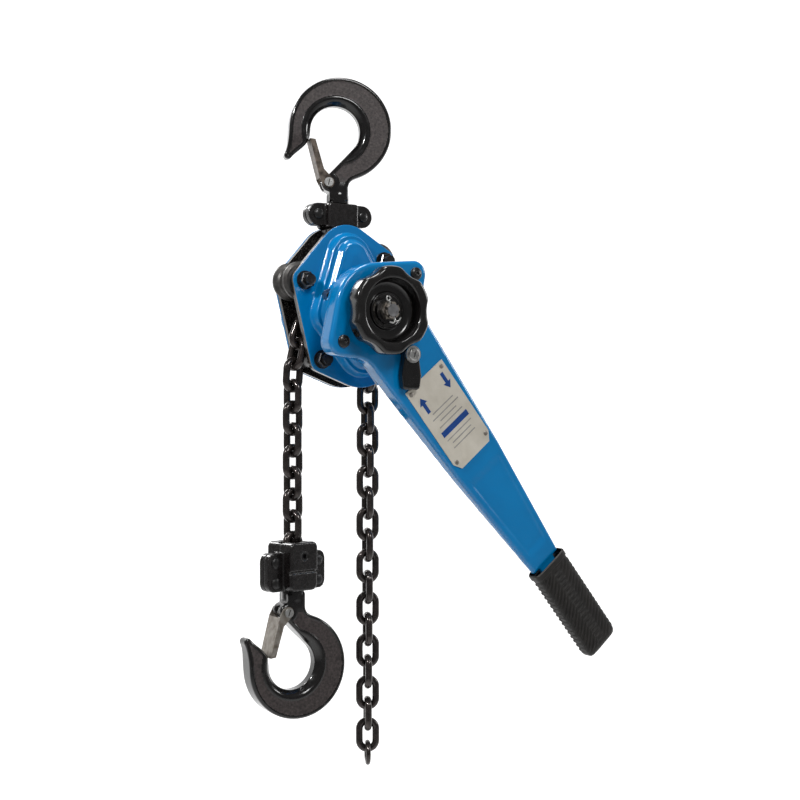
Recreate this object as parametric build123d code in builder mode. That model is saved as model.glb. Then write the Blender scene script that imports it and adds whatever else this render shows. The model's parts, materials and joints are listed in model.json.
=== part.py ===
"""Lever chain hoist, 1.5 t class, hanging by its top hook.  Millimetres, +Z up.

The origin is the highest point of the top hook's bowl, where a load ring or beam bears.
The shaft runs along Y: the handwheel looks towards -Y and the gear case towards +Y.
"""
from build123d import *
from math import atan, cos, degrees, hypot, pi, radians, sin, tan
import os

os.makedirs("parts", exist_ok=True)

# ---------------------------------------------------------------- driving dimensions
shaft_x, shaft_z = 7.0, -204.0          # shaft axis, parallel to Y
hang_tilt = 14.0                        # the body hangs tilted about the shaft, degrees
lever_angle = 39.0                      # lever axis, degrees from straight down towards +X

gap = 26.0                              # clear space between the side plates
plate = 4.0                             # side plate thickness
inner_y = gap / 2
outer_y = inner_y + plate
top_lobe = (6, 53, 33.5)                # x, z, radius of the plate outline's circles
bolt_lobe = 12.5
bottom_lobe = (0, -31, 42)
bolts = [(-46, 43), (-46, -35), (46, 43), (46, -35)]
bolt_r = 5.0
suspension = (9.49, 67.0)               # suspension pin in the body's own plane, under the hook
suspension_r = 6.0
stripper_pins_at = [(-17, -55), (-3, -55)]

wire = 7.0                              # chain 7 x 21
link_inner = 21.1
link_width = 23.5
bend_r = (link_width - wire) / 2
link_half = (link_inner + wire) / 2     # centre to wire centre at the crown
upright_step = 2 * (link_half - bend_r)
flat_step = 2 * (21.0 - upright_step / 2)
load_twist = 12.0                       # twist of the hanging strands about Z
tail_twist = (-4, -27)

pockets = 5
pocket_turn = 360 / pockets
half_flat = degrees(atan(sin(radians(pocket_turn / 2))
                         / (upright_step / flat_step + cos(radians(pocket_turn / 2)))))
half_upright = pocket_turn / 2 - half_flat
pitch_r = flat_step / 2 / sin(radians(half_flat))
load_exit = 157.0                       # where the chain leaves the sheave, load side

cover_t = 2.5
flange_t = 3.0
dome_y = 36.0                           # depth of the first and second dome, from the mid plane
nose_y = 46.0
lever_back_y = 50.0
lever_face_y = 67.0
wheel_back_y, wheel_face_y = 74.0, 93.0
wheel_r = 42.0
case_y = 62.0                           # gear case depth

pinion_teeth, wheel_teeth, first_module = 10, 25, 2.0
second_teeth, load_teeth, second_module = 10, 30, 1.75
gear_offset = first_module * (pinion_teeth + wheel_teeth) / 2
fit = 0.05                              # radial clearance of a running fit

hook_t = 21.0
hook_inner = 24.5
hook_outer = 50.5
outer_centre = (5.0, 2.0)
shank_u = 3.0
latch_pivot = (-7.5, -51.0)
top_hook_turn = -22.0
bottom_hook_turn = -3.0



def save(part, name):
    part.label = name
    export_step(part, f"parts/{name}.step")


def body_plane(y):
    """Plane of the tilted body at depth y; a positive extrusion goes towards -Y."""
    turn = radians(hang_tilt)
    return Plane(origin=(shaft_x, y, shaft_z), x_dir=(cos(turn), 0, sin(turn)), z_dir=(0, -1, 0))


def shaft_plane(y):
    """Plane across the shaft at depth y, square to the row's axes; extrusions go towards -Y."""
    return Plane(origin=(shaft_x, y, shaft_z), x_dir=(1, 0, 0), z_dir=(0, -1, 0))


def body_point(x, z):
    turn = radians(hang_tilt)
    return (shaft_x + x * cos(turn) - z * sin(turn), shaft_z + x * sin(turn) + z * cos(turn))


def lever_plane(y):
    """Plane of the lever: local x runs from the shaft to the grip, extrusions go towards -Y."""
    turn = radians(lever_angle)
    return Plane(origin=(shaft_x, y, shaft_z), x_dir=(sin(turn), 0, -cos(turn)), z_dir=(0, -1, 0))


def lever_side_plane():
    """Plane through the shaft along the lever and along Y: local x runs to the grip, local y is +Y."""
    turn = radians(lever_angle)
    return Plane(origin=(shaft_x, 0, shaft_z), x_dir=(sin(turn), 0, -cos(turn)), z_dir=(cos(turn), 0, sin(turn)))


def ring(plane, outer, inner, depth, at=(0, 0), mode=Mode.ADD):
    """Add a round ring, or a disc when inner is 0, to the part being built."""
    with BuildSketch(plane) as profile:
        with Locations(at):
            Circle(outer)
            if inner:
                Circle(inner, mode=Mode.SUBTRACT)
    extrude(profile.sketch, amount=depth, mode=mode)


def body_outline(inset=0.0):
    """Side plate outline: the hull of a top lobe, four bolt lobes and a bottom lobe."""
    with Locations(top_lobe[:2]):
        Circle(top_lobe[2] - inset)
    with Locations(bottom_lobe[:2]):
        Circle(bottom_lobe[2] - inset)
    with Locations(*bolts):
        Circle(bolt_lobe - inset)
    make_hull()


def gear_outline(teeth, module, first_tooth, backlash=0.35, pressure=25.0):
    """Stub involute gear centred on the current location, first tooth at that angle."""
    pitch = teeth * module / 2
    base = pitch * cos(radians(pressure))
    root, tip = pitch - module, pitch + 0.8 * module

    def involute(angle):
        return tan(angle) - angle

    def half_angle(radius):
        at = min(1.0, base / radius)
        swing = (1 - at * at) ** 0.5 / at
        return (pi / 2 / teeth - backlash / 2 / pitch + involute(radians(pressure))
                - (swing - atan(swing)))

    radii = [root, max(base, root + 0.1), (max(base, root) + pitch) / 2, pitch, (pitch + tip) / 2, tip]
    points = []
    for tooth in range(teeth):
        middle = radians(first_tooth) + 2 * pi * tooth / teeth
        for side, order in ((-1, radii), (1, radii[::-1])):
            for radius in order:
                at = middle + side * half_angle(max(radius, base))
                points.append((radius * cos(at), radius * sin(at)))
    Polygon(*points, align=None)


# ---------------------------------------------------------------- chain
def make_link(start, heading, step, twist):
    """One link from pivot start along heading, in degrees from straight down towards -X."""
    along = Vector(-sin(radians(heading)), 0, -cos(radians(heading)))
    side = Vector(cos(radians(heading)), 0, -sin(radians(heading)))
    side = side.rotate(Axis((0, 0, 0), tuple(along)), -twist)
    normal = along.cross(side)
    centre = Vector(*start) + along * (step / 2)
    straight = link_half - bend_r
    with BuildPart() as link:
        for sign in (1, -1):
            with BuildSketch(Plane(origin=centre - along * straight + side * bend_r * sign, z_dir=along)):
                Circle(wire / 2)
            extrude(amount=2 * straight)
            turn_centre = centre + along * straight * sign
            with BuildSketch(Plane(origin=turn_centre + side * bend_r, z_dir=along)):
                Circle(wire / 2)
            revolve(axis=Axis(tuple(turn_centre), tuple(normal * -sign)), revolution_arc=180)
    return link.part.solid()


def walk(start, links):
    """Links (kind, heading, twist) hung one from another; returns the solids and the last pivot."""
    solids, pivots = [], [start]
    for kind, heading, twist in links:
        step = flat_step if kind == "flat" else upright_step
        x, z = pivots[-1]
        solids.append(make_link((x, 0, z), heading, step, twist + (90 if kind == "flat" else 0)))
        pivots.append((x - step * sin(radians(heading)), z - step * cos(radians(heading))))
    return solids, pivots


def on_sheave(angle):
    return (shaft_x + pitch_r * cos(radians(angle)), shaft_z + pitch_r * sin(radians(angle)))


seated = []
angle = load_exit
for kind in ("upright", "flat", "upright", "flat", "upright"):
    half = half_flat if kind == "flat" else half_upright
    x, z = on_sheave(angle)
    step = flat_step if kind == "flat" else upright_step
    seated.append(make_link((x, 0, z), 360 - (angle - half), step, 90 if kind == "flat" else 0))
    angle -= 2 * half
tail_exit = angle

first_load, load_pivots = walk(on_sheave(load_exit), [("flat", 27, 3)])
first_tail, tail_pivots = walk(on_sheave(tail_exit), [("flat", 5, -1)])
save(Compound(children=seated + first_load + first_tail), "chain_on_sheave")

lead, pivots = walk(load_pivots[-1], [("upright", 22, 6), ("flat", 13, 9), ("upright", 4, load_twist)])
load_hinge = pivots[-1]
hanging = [("flat", 0, load_twist), ("upright", 0, load_twist)] * 4
strand, load_end = walk(load_hinge, hanging)
save(Compound(children=strand), "load_chain")

tail_lead, pivots = walk(tail_pivots[-1], [("upright", 5, tail_twist[0])])
save(Compound(children=lead + tail_lead), "chain_leads")
tail_hinges = [pivots[-1]]
tail_turns = 0
tail_steps = 18                         # links in the two tail strands together
for number, length in enumerate((8, 10), start=1):
    links = []
    for index in range(length):
        tail_turns += 1
        turn = tail_twist[0] + (tail_twist[1] - tail_twist[0]) * tail_turns / tail_steps
        links.append(("upright" if index % 2 else "flat", 5 if tail_turns == 1 else 0, turn))
    part, pivots = walk(tail_hinges[-1], links)
    save(Compound(children=part), f"tail_chain_{number}")
    tail_hinges.append(pivots[-1])

end_turn = radians(tail_twist[1] + 90)
end_x, end_z = tail_hinges[-1]
ring_r, ring_wire = 10.0, 5.0
last_inside = end_z - bend_r + wire / 2
ring_z = last_inside + ring_wire / 2 + 0.2 - ring_r
ring_face = Vector(sin(end_turn), -cos(end_turn), 0)
with BuildPart() as end_ring:
    with BuildSketch(Plane(origin=(end_x, 0, ring_z), x_dir=(cos(end_turn), sin(end_turn), 0), z_dir=(0, 0, 1))):
        with Locations((ring_r, 0)):
            Circle(ring_wire / 2)
    revolve(axis=Axis((end_x, 0, ring_z), tuple(ring_face)))
save(end_ring.part, "tail_end_ring")

# ---------------------------------------------------------------- frame: plates, bolts, rollers
pawl_pins = [(-30, 24), (30, -24)]
pawl_pin_r = 3.0
upper, lower = (0, gear_offset), (0, -gear_offset)
for name, y, holes, hole_r in (("front_side_plate", -inner_y, pawl_pins, pawl_pin_r),
                               ("rear_side_plate", outer_y, (upper, lower), 7.0)):
    with BuildPart() as side_plate:
        with BuildSketch(body_plane(y)):
            body_outline(0.4)
            with Locations(*bolts):
                Circle(bolt_r + 0.1, mode=Mode.SUBTRACT)
            with Locations(suspension):
                Circle(suspension_r + 0.02, mode=Mode.SUBTRACT)
            with Locations(*stripper_pins_at):
                Circle(2.52, mode=Mode.SUBTRACT)
            with Locations(*holes):
                Circle(hole_r, mode=Mode.SUBTRACT)
            Circle(20, mode=Mode.SUBTRACT)
        extrude(amount=plate)
    save(side_plate.part, name)

bolt_end_y = 33.0
with BuildPart() as stay_bolts:
    for x, z in bolts:
        ring(body_plane(bolt_end_y), bolt_r, 0, 2 * bolt_end_y, at=(x, z))
save(stay_bolts.part, "stay_bolts")

with BuildPart() as spacers:
    for x, z in (bolts[1], bolts[3]):
        ring(body_plane(inner_y), 7.5, bolt_r + 0.02, gap, at=(x, z))
save(spacers.part, "bottom_spacers")

nut_h = 6.5
start = outer_y + flange_t
with BuildPart() as nuts:
    for y in (-1, 1):
        for x, z in bolts:
            seat = -start if y < 0 else start + 1.5
            ring(body_plane(seat), 9.0, bolt_r + 0.02, 1.5, at=(x, z))
            for shift, height, draft in ((1.5, nut_h - 1, 0), (nut_h + 0.5, 1, 35)):
                near = -start - shift if y < 0 else start + shift
                base = body_plane(near)
                with BuildSketch(base) as hexagon:
                    with Locations((x, z)):
                        RegularPolygon(8.2, 6)
                extrude(hexagon.sketch, amount=height * (1 if y < 0 else -1), taper=draft)
    for x, z in bolts:
        ring(body_plane(40), bolt_r + 0.02, 0, 80, at=(x, z), mode=Mode.SUBTRACT)
save(nuts.part, "stay_bolt_nuts")

roller_r, groove_r = 18.5, 14.0
for name, spot in (("load_side_roller", bolts[0]), ("tail_side_roller", bolts[2])):
    x, z = body_point(*spot)
    with BuildPart() as roller:
        with BuildSketch(Plane(origin=(x, 0, z), x_dir=(1, 0, 0), z_dir=(0, 0, 1))):
            with BuildLine():
                Polyline((bolt_r + fit, -12.4), (roller_r - 3, -12.4), (roller_r, -11), (roller_r, -8.5),
                         (groove_r + 1.5, -6.5), (groove_r, -4.6), (groove_r, 4.6), (groove_r + 1.5, 6.5),
                         (roller_r, 8.5), (roller_r, 11), (roller_r - 3, 12.4), (bolt_r + fit, 12.4), close=True)
            make_face()
        revolve(axis=Axis((x, 0, z), (0, 1, 0)))
    save(roller.part, name)

with BuildPart() as suspension_pin:
    ring(body_plane(outer_y + 1), suspension_r, 0, 2 * outer_y + 2, at=suspension)
    ring(body_plane(-outer_y - 0.2), suspension_r + 2, 0, 3, at=suspension)
    ring(body_plane(outer_y + 3.2), suspension_r + 2, 0, 3, at=suspension)
save(suspension_pin.part, "suspension_pin")

with BuildPart() as stripper:
    with BuildSketch(body_plane(inner_y - 0.2)):
        with Locations((-10, -55)):
            SlotOverall(26, 10)
        with Locations(*stripper_pins_at):
            Circle(2.52, mode=Mode.SUBTRACT)
    extrude(amount=gap - 0.4)
    with BuildSketch(body_plane(3)):
        with BuildLine():
            Polyline((-16, -52), (-4, -52), (3, -23.5), (-9, -23.5), close=True)
        make_face()
        Circle(23.5, mode=Mode.SUBTRACT)
    extrude(amount=6)
save(stripper.part, "chain_stripper")

# ---------------------------------------------------------------- load sheave and its bearings
sheave_y = 12.4
sheave_r = 36.0
journal_r = 16.0
pocket_floor = pitch_r * cos(radians(half_flat)) - wire / 2 - 0.4
first_pocket = load_exit - 2 * half_upright - half_flat
with BuildPart() as sheave:
    ring(shaft_plane(sheave_y), sheave_r, 0, 2 * sheave_y)
    ring(shaft_plane(4.5), sheave_r + 1, 20.5, 9, mode=Mode.SUBTRACT)
    for number in range(pockets):
        turn = radians(first_pocket + number * pocket_turn)
        out = Vector(cos(turn), 0, sin(turn))
        floor = Vector(shaft_x, 0, shaft_z) + out * pocket_floor
        with BuildSketch(Plane(origin=floor, x_dir=(-sin(turn), 0, cos(turn)), z_dir=out)):
            SlotOverall(2 * link_half + wire + 1.2, link_width + 1.6)
        extrude(amount=20, mode=Mode.SUBTRACT)
    ring(shaft_plane(31), 13, 0, 31)
    ring(shaft_plane(18), journal_r, 0, 36)
    ring(shaft_plane(40), 8 + fit, 0, 80, mode=Mode.SUBTRACT)
save(sheave.part, "load_sheave")


with BuildPart() as bearings:
    for y in (-inner_y, outer_y + 0.8):
        ring(shaft_plane(y), 19.97, journal_r + fit, plate + 0.8)
save(bearings.part, "sheave_bearings")

# ---------------------------------------------------------------- gears
load_gear_y, second_y = (20.0, 31.0), (33.5, 42.5)
with BuildPart() as load_gear:
    with BuildSketch(body_plane(load_gear_y[1])) as profile:
        gear_outline(load_teeth, second_module, 90 + 180 / load_teeth)
        Circle(13.02, mode=Mode.SUBTRACT)
        with PolarLocations(19.5, 6):
            Circle(2.6, mode=Mode.SUBTRACT)
    extrude(amount=load_gear_y[1] - load_gear_y[0])
save(load_gear.part, "load_gear")

for name, spot, facing in (("upper_gear", upper, -90), ("lower_gear", lower, 90)):
    with BuildPart() as pair:
        with BuildSketch(body_plane(second_y[1])):
            with Locations(spot):
                gear_outline(wheel_teeth, first_module, facing + 180 / wheel_teeth)
        extrude(amount=second_y[1] - second_y[0])
        with BuildSketch(body_plane(second_y[0])):
            with Locations(spot):
                gear_outline(second_teeth, second_module, facing)
        extrude(amount=second_y[0] - load_gear_y[0])
        ring(body_plane(52), 5, 0, 52 - outer_y + 3.5, at=spot)
    save(pair.part, name)

bush_y = 51.5
with BuildPart() as gear_bushes:
    for spot in (upper, lower):
        ring(body_plane(outer_y), 6.98, 5 + fit, 3.4, at=spot)
        ring(body_plane(bush_y), 6.98, 5 + fit, 5, at=spot)
    ring(shaft_plane(50.5), 8.98, 6 + fit, 6)
save(gear_bushes.part, "gear_bushes")

# ---------------------------------------------------------------- drive shaft, brake and change gear
shaft_r = 8.0
thread_r = 6.0
seat_y = wheel_back_y + 6


def across_shaft(radius):
    """Round bar through the shaft at the castle nut's slots."""
    turn = radians(20)
    along = Vector(-sin(turn), 0, cos(turn))
    with BuildPart() as bar:
        with BuildSketch(Plane(origin=Vector(shaft_x, -seat_y - 8.3, shaft_z) - along * 10, z_dir=along)):
            Circle(radius)
        extrude(amount=20)
    return bar.part


with BuildPart() as drive_shaft:
    ring(shaft_plane(51), shaft_r - 2, 0, 51 - second_y[1])
    with BuildSketch(body_plane(second_y[1])):
        gear_outline(pinion_teeth, first_module, 90)
    extrude(amount=second_y[1] - second_y[0])
    ring(shaft_plane(second_y[0]), 7.5, 0, second_y[0])
    ring(shaft_plane(32), shaft_r, 0, 32 + 40)
    ring(shaft_plane(-40), thread_r, 0, 51)
    add(across_shaft(1.12), mode=Mode.SUBTRACT)
save(drive_shaft.part, "drive_shaft")

hub_y = (19.5, 24.0)
disc_t = 2.0
ratchet_y = (hub_y[1] + disc_t + 0.2, hub_y[1] + disc_t + 6.2)
ratchet_r, ratchet_teeth = 27.0, 12
with BuildPart() as friction_hub:
    ring(shaft_plane(-hub_y[0]), 23.5, 0, hub_y[1] - hub_y[0])
    ring(shaft_plane(-hub_y[1]), 13, 0, 10.6)
    ring(shaft_plane(0), shaft_r + 0.02, 0, 60, mode=Mode.SUBTRACT)
save(friction_hub.part, "friction_hub")
with BuildPart() as discs:
    for y in (hub_y[1] + 0.1, ratchet_y[1] + 0.1):
        ring(shaft_plane(-y), 23, 13.1, disc_t)
save(discs.part, "friction_discs")

with BuildPart() as ratchet:
    with BuildSketch(body_plane(-ratchet_y[0])):
        points = []
        for tooth in range(ratchet_teeth):
            start = 2 * pi * tooth / ratchet_teeth + radians(5)
            for part_turn, radius in ((0, ratchet_r - 4), (0.02, ratchet_r), (0.12, ratchet_r),
                                      (0.62, ratchet_r - 2.6)):
                at = start + part_turn * 2 * pi / ratchet_teeth
                points.append((radius * cos(at), radius * sin(at)))
        Polygon(*points, align=None)
        Circle(13 + fit, mode=Mode.SUBTRACT)
    extrude(amount=ratchet_y[1] - ratchet_y[0])
save(ratchet.part, "ratchet_wheel")

change_y = ratchet_y[1] + disc_t + 0.4
teeth_y = (52.5, 63.0)
with BuildPart() as change_gear:
    ring(shaft_plane(-change_y), 23, 0, 3)
    ring(shaft_plane(-change_y - 3), 14.5, 0, teeth_y[0] - change_y - 3)
    with BuildSketch(lever_plane(-teeth_y[0])):
        points = []
        for tooth in range(14):
            for part_turn, radius in ((-0.27, 21), (-0.2, 26), (0.2, 26), (0.27, 21)):
                at = 2 * pi * (tooth + part_turn) / 14
                points.append((radius * cos(at), radius * sin(at)))
        Polygon(*points, align=None)
    extrude(amount=teeth_y[1] - teeth_y[0])
    ring(shaft_plane(-teeth_y[1]), 13, 0, wheel_back_y - teeth_y[1])
    ring(shaft_plane(-change_y + 1), thread_r + 0.02, 0, 60, mode=Mode.SUBTRACT)
    ring(shaft_plane(-change_y + 1), shaft_r + 0.02, 0, 41 - change_y + 1, mode=Mode.SUBTRACT)
save(change_gear.part, "change_gear")

# ---------------------------------------------------------------- pawls of the brake
with BuildPart() as frame_pins:
    for spot in pawl_pins:
        ring(body_plane(-inner_y - 0.4), pawl_pin_r - 0.02, 0, 32.5 - inner_y - 0.4, at=spot)
    for spot in stripper_pins_at:
        ring(body_plane(outer_y), 2.5, 0, 2 * outer_y, at=spot)
save(frame_pins.part, "frame_pins")
with BuildPart() as pawl_springs:
    for spot in pawl_pins:
        for turn in range(3):
            ring(body_plane(-20.3 - 1.3 * turn), 5.2, 3.15, 1.1, at=spot)
save(pawl_springs.part, "pawl_springs")
for name, spot, sign in (("upper_pawl", pawl_pins[0], 1), ("lower_pawl", pawl_pins[1], -1)):
    with BuildPart() as pawl:
        with BuildSketch(body_plane(-ratchet_y[0] - 0.2)):
            with Locations(spot):
                Circle(6)
            with BuildLine():
                Polyline((spot[0] - 3 * sign, spot[1] + 5.2 * sign), (spot[0] + 14 * sign, spot[1] + 8.5 * sign),
                         (spot[0] + 15.5 * sign, spot[1] + 5 * sign), (spot[0] + 2 * sign, spot[1] - 4 * sign),
                         close=True)
            make_face()
            with Locations(spot):
                Circle(3 + fit, mode=Mode.SUBTRACT)
        extrude(amount=5.6)
    save(pawl.part, name)

# ---------------------------------------------------------------- front cover and gear case
dome_lobes = [(6, 53.5, 25), (-29, 5, 20), (28, 5, 19), (30, -24, 9.3), (0, -34, 29)]


def dome_outline(inset):
    """Pressed dome of the front cover, kept clear of the four nuts."""
    for x, z, radius in dome_lobes:
        with Locations((x, z)):
            Circle(radius - inset)
    make_hull()


def pressed(plane, outline, corner, depth, rounding):
    """A pressed form: rounded outline raised by depth from plane, with its far edge rounded."""
    with BuildPart() as form:
        with BuildSketch(plane):
            outline()
            if corner:
                fillet(vertices(), corner)
        extrude(amount=depth)
        if rounding:
            along = Axis((0, 0, 0), tuple(plane.z_dir * (1 if depth > 0 else -1)))
            fillet(form.faces().sort_by(along)[-1].edges(), rounding)
    return form.part


nose_r = 41.0
boss_r, boss_bore = 20.0, 15.5
with BuildPart() as front_cover:
    with BuildSketch(body_plane(-outer_y)):
        body_outline()
    extrude(amount=flange_t)
    add(pressed(body_plane(-outer_y), lambda: dome_outline(0), 0, dome_y - outer_y, 6.0))
    add(pressed(shaft_plane(-outer_y - 4), lambda: Circle(nose_r), 0, nose_y - outer_y - 4, 6.0))
    ring(shaft_plane(-nose_y + 1), boss_r, 0, lever_back_y + 1.4 - nose_y)
    add(pressed(body_plane(-outer_y + 1), lambda: dome_outline(cover_t), 0, dome_y - outer_y + 1 - cover_t, 0),
        mode=Mode.SUBTRACT)
    add(pressed(shaft_plane(-outer_y + 1), lambda: Circle(31), 0, nose_y - outer_y + 1 - cover_t, 0),
        mode=Mode.SUBTRACT)
    ring(shaft_plane(0), boss_bore, 0, 60, mode=Mode.SUBTRACT)
    with BuildSketch(body_plane(-outer_y)):
        with Locations(*bolts):
            Circle(bolt_r + 0.1)
    extrude(amount=20, mode=Mode.SUBTRACT)
save(front_cover.part, "front_cover")


case_step_y = 43.0


def train_outline(inset):
    """Deep part of the gear case, round the two intermediate gears and the load gear."""
    with Locations(upper, lower):
        Circle(31 - inset)
    make_hull()


with BuildPart() as gear_case:
    with BuildSketch(body_plane(outer_y + flange_t)):
        body_outline()
    extrude(amount=flange_t)
    add(pressed(body_plane(outer_y), lambda: dome_outline(0), 0, outer_y - case_step_y, 6.0))
    add(pressed(body_plane(outer_y), lambda: train_outline(0), 0, outer_y - case_y, 8.0))
    add(pressed(body_plane(outer_y - 1), lambda: dome_outline(cover_t), 0, outer_y - case_step_y + 1, 0),
        mode=Mode.SUBTRACT)
    add(pressed(body_plane(outer_y - 1), lambda: train_outline(cover_t), 0, outer_y - case_y + 1 + cover_t, 0),
        mode=Mode.SUBTRACT)
    for spot, radius in ((upper, 10), (lower, 10), ((0, 0), 12)):
        ring(body_plane(case_y - 4), radius, 0, case_y - 4 - 43.5, at=spot)
    for spot, radius in ((upper, 7), (lower, 7), ((0, 0), 9)):
        ring(body_plane(52.5), radius, 0, 20, at=spot, mode=Mode.SUBTRACT)
    with BuildSketch(body_plane(outer_y + 10)):
        with Locations(*bolts):
            Circle(bolt_r + 0.1)
    extrude(amount=20, mode=Mode.SUBTRACT)
save(gear_case.part, "gear_case")

# ---------------------------------------------------------------- lever
casing_r = 47.0
ears = [(-3.5, 55.5, 13.0), (-2.5, -49.5, 14.0)]
sweeps = [(1, 12.0), (-1, 30.0)]
blade_waist_at, blade_waist = 185.0, 62.0
blade_root, blade_end = 76.0, 38.5
blade_start = 45.0
grip_from, grip_to = 322.0, 438.0
grip_width, grip_depth = 45.0, 20.0


def lever_outline(inset, head_only=False):
    """Round head with two ears, and the tapering blade; the corners between them are swept."""
    half_root, half_waist, half_end = (width / 2 - inset for width in (blade_root, blade_waist, blade_end))
    with BuildSketch() as outline:
        Circle(casing_r - inset)
        for u, v, radius in ears:
            with Locations((u, v)):
                Circle(radius - inset)
        make_hull()
        if head_only:
            with Locations((30, 0)):
                Rectangle(60, 2 * half_root)
        else:
            Polygon((0, half_root), (blade_start, half_root), (blade_waist_at, half_waist), (grip_from, half_end),
                    (grip_from, -half_end), (blade_waist_at, -half_waist), (blade_start, -half_root),
                    (0, -half_root), align=None)
        for side, radius in sweeps:
            corner = (29, side * half_root)
            fillet(outline.vertices().sort_by_distance(corner)[0], radius)
    return outline.sketch


lever_bolts = [ear[:2] for ear in ears]
selector_at = (51, -1.5)
label_bottom, label_top = 178.0, 79.0
with BuildPart() as lever:
    extrude(lever_plane(-lever_back_y - 0.1) * lever_outline(0), amount=lever_face_y - lever_back_y - 0.1)
    top = lever.faces().filter_by(Axis.Y).sort_by(Axis.Y)[0]
    fillet(top.edges(), 3.5)
    extrude(lever_plane(-lever_back_y + 1) * lever_outline(cover_t),
            amount=lever_face_y - lever_back_y + 1 - cover_t, mode=Mode.SUBTRACT)
    with BuildSketch(lever_side_plane()):
        with BuildLine():
            Polyline((70, -lever_back_y + 1), (grip_from + 1, -lever_face_y + 6),
                     (grip_from + 1, -lever_back_y + 1), close=True)
        make_face()
    extrude(amount=60, both=True, mode=Mode.SUBTRACT)
    with BuildSketch(lever_plane(-lever_face_y + 5.5)):
        with Locations(((grip_from + 415) / 2 - 4, 0)):
            Rectangle(415 - grip_from + 8, 22)
    extrude(amount=5)
    ring(shaft_plane(0), 13 + fit, 0, 90, mode=Mode.SUBTRACT)
    for spot, radius in ((lever_bolts[0], 3.02), (lever_bolts[1], 3.02), (selector_at, 4 + fit)):
        ring(lever_plane(-lever_back_y + 2), radius, 0, 30, at=spot, mode=Mode.SUBTRACT)
save(lever.part, "lever_front")

with BuildPart() as lever_back:
    with BuildSketch(lever_plane(-lever_back_y + 2.5)):
        add(lever_outline(0.6, head_only=True))
        Circle(boss_r + fit, mode=Mode.SUBTRACT)
        with Locations(*lever_bolts):
            Circle(3.02, mode=Mode.SUBTRACT)
    extrude(amount=2.5)
save(lever_back.part, "lever_rear")

with BuildPart() as casing_bolts:
    for spot in lever_bolts:
        ring(lever_plane(-lever_back_y + 2), 3, 0, lever_face_y - lever_back_y + 2, at=spot)
        ring(lever_plane(-lever_face_y), 6.2, 0, 3.5, at=spot)
    chamfer(casing_bolts.faces().filter_by(Axis.Y).sort_by(Axis.Y)[0:2].edges(), 0.8)
save(casing_bolts.part, "lever_casing_bolts")

grip_y = -lever_face_y + 3 + grip_depth / 2
with BuildPart() as grip:
    with BuildSketch(lever_plane(grip_y)):
        with Locations(((grip_from + grip_to) / 2, 0)):
            RectangleRounded(grip_to - grip_from, grip_width, 7)
    extrude(amount=grip_depth)
    fillet(grip.edges().filter_by(Axis.Y, reverse=True), 4.5)
    with BuildSketch(lever_plane(-lever_face_y + 5.5 + fit)):
        with Locations(((grip_from + 415) / 2 - 4, 0)):
            Rectangle(415.2 - grip_from + 8, 22.1)
    extrude(amount=5 + 2 * fit, mode=Mode.SUBTRACT)
save(grip.part, "lever_grip")

# ---------------------------------------------------------------- selector
knob_y = 77.0
selector_x = shaft_x + selector_at[0] * sin(radians(lever_angle)) + selector_at[1] * cos(radians(lever_angle))
selector_z = shaft_z - selector_at[0] * cos(radians(lever_angle)) + selector_at[1] * sin(radians(lever_angle))


def selector_plane(y):
    """Plane at the selector's axis, local y pointing up; the handle hangs along -y."""
    return Plane(origin=(selector_x, y, selector_z), x_dir=(1, 0, 0), z_dir=(0, -1, 0))


with BuildPart() as knob:
    with BuildSketch(selector_plane(-lever_face_y - 1.4)):
        Circle(8.6)
        with BuildLine():
            Polyline((-8, 0), (-11, -20), (-9, -34), (9, -34), (11, -20), (8, 0), close=True)
        make_face()
        fillet(vertices().filter_by(lambda v: v.Y < -30), 4)
    extrude(amount=knob_y - lever_face_y - 1.4)
    fillet(knob.faces().filter_by(Axis.Y).sort_by(Axis.Y)[0].edges(), 2.5)
    ring(selector_plane(-lever_face_y), 4 + 0.02, 0, 30, mode=Mode.SUBTRACT)
save(knob.part, "selector_knob")

with BuildPart() as selector_screw:
    ring(selector_plane(-knob_y), 8.2, 0, 1.6)
    ring(selector_plane(-knob_y - 1.6), 6.0, 0, 2.6)
    fillet(selector_screw.faces().filter_by(Axis.Y).sort_by(Axis.Y)[0].edges(), 1.2)
    with BuildSketch(selector_plane(-knob_y - 3.2)):
        Rectangle(1.6, 14, rotation=35)
    extrude(amount=3, mode=Mode.SUBTRACT)
    ring(selector_plane(-knob_y + 3), 2.5, 0, 3)
save(selector_screw.part, "selector_screw")

pawl_y = (54.0, 62.0)
with BuildPart() as selector_pawl:
    with BuildSketch(selector_plane(-pawl_y[0])):
        Circle(9)
        with BuildLine():
            Polyline((-9, 0), (-16, 15), (-11, 17), (0, 8), (11, 17), (16, 15), (9, 0), close=True)
        make_face()
    extrude(amount=pawl_y[1] - pawl_y[0])
    ring(selector_plane(-lever_back_y - 0.6), 4, 0, knob_y - 0.6 - lever_back_y)
    ring(selector_plane(-knob_y + 4), 2.52, 0, 10, mode=Mode.SUBTRACT)
save(selector_pawl.part, "selector_pawl")

# ---------------------------------------------------------------- label plate
with BuildPart() as label:
    with BuildSketch(lever_plane(-lever_face_y - 0.1)):
        with BuildLine():
            Polyline((label_top, -27), (label_top, 27), (label_bottom - 9, 27), (label_bottom, 21),
                     (label_bottom, -21), (label_bottom - 9, -27), close=True)
        make_face()
        with Locations(*[(u, v) for u in (label_top + 5, label_bottom - 9) for v in (-22.5, 22.5)]):
            Circle(1.3, mode=Mode.SUBTRACT)
    extrude(amount=0.9)
save(label.part, "label_plate")
with BuildPart() as label_rivets:
    for spot in [(u, v) for u in (label_top + 5, label_bottom - 9) for v in (-22.5, 22.5)]:
        ring(lever_plane(-lever_face_y), 1.25, 0, 1.0, at=spot)
        ring(lever_plane(-lever_face_y - 1.0), 2.4, 0, 0.8, at=spot)
save(label_rivets.part, "label_rivets")

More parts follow.
